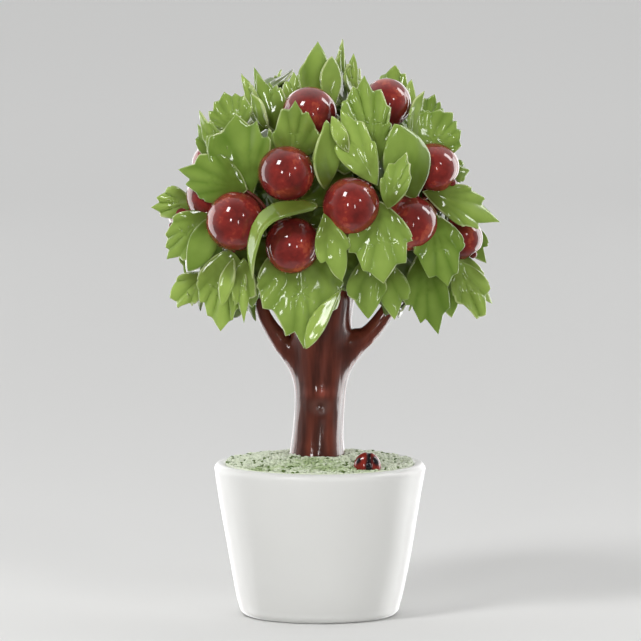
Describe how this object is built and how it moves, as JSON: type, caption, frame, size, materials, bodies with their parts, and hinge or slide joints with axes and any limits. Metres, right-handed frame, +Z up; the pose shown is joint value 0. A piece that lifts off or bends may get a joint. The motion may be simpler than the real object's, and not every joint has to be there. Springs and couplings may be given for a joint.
{
  "type": "ceramic model of a potted apple tree",
  "caption": "Glazed ceramic model of a small apple tree in a round tapered pot, with a forked trunk, a rounded crown of broad toothed leaves and a ladybird on the ground.",
  "frame": {"origin": "centre of the pot's flat underside", "axes": "+Z up; the front, with the ladybird on the ground, faces -Y; +X to the right seen from the front"},
  "size_m": [0.1776, 0.1727, 0.3],
  "materials": {
    "pot": "gloss",
    "ground": "satin",
    "bark": "gloss",
    "leaf": "gloss",
    "ladybird": "gloss",
    "apple": "gloss"
  },
  "bodies": {
    "root": {"pot": "pot", "ground": "ground", "ladybird": "ladybird", "trunk": "bark", "bough_left": "bark", "bough_right": "bark", "bough_back": "bark", "mass_top": "leaf", "mass_upper_front_left": "leaf", "mass_upper_front_right": "leaf", "mass_upper_back_right": "leaf", "mass_upper_back_left": "leaf", "mass_middle_left": "leaf", "mass_middle_front_left": "leaf", "mass_middle_front_right": "leaf", "mass_middle_right": "leaf", "mass_middle_back_right": "leaf", "mass_middle_back_left": "leaf", "mass_lower_front": "leaf", "mass_lower_right": "leaf", "mass_lower_back_right": "leaf", "mass_lower_back_left": "leaf", "mass_lower_left": "leaf"}
  },
  "joints": []
}
